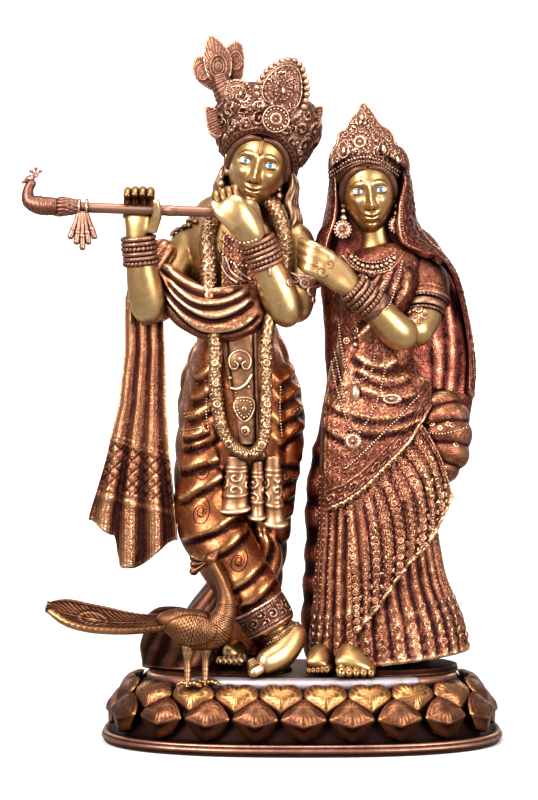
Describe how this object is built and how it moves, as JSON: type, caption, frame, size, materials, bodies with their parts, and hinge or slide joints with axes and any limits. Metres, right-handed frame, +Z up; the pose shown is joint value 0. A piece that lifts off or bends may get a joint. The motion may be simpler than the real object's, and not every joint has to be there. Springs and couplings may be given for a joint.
{
  "type": "radha krishna figure",
  "caption": "Cast brass group of a flute player with crossed legs and a veiled lady leaning on him, on an oval lotus plinth, with a peacock at their feet.",
  "frame": {"origin": "middle of the plinth's flat underside", "axes": "+Z up, -Y to the front that the figures face, +X to the viewer's right"},
  "size_m": [0.6129, 0.2876, 0.9102],
  "materials": {
    "plinth_brass": "cast, dark copper-brown lacquer with rubbed golden petals",
    "player_brass": "cast and chased, satin gold skin, copper-lacquered cloth with dark recesses",
    "lady_brass": "cast and chased, satin gold skin, red-copper sari with rubbed golden beads",
    "flute_brass": "turned and polished, rose-copper lacquer",
    "peacock_brass": "cast and chased scales, antique copper-gold"
  },
  "bodies": {
    "root": {"lotus_plinth": "plinth_brass", "flute_player": "player_brass", "lady": "lady_brass", "flute": "flute_brass", "peacock": "peacock_brass"}
  },
  "joints": []
}
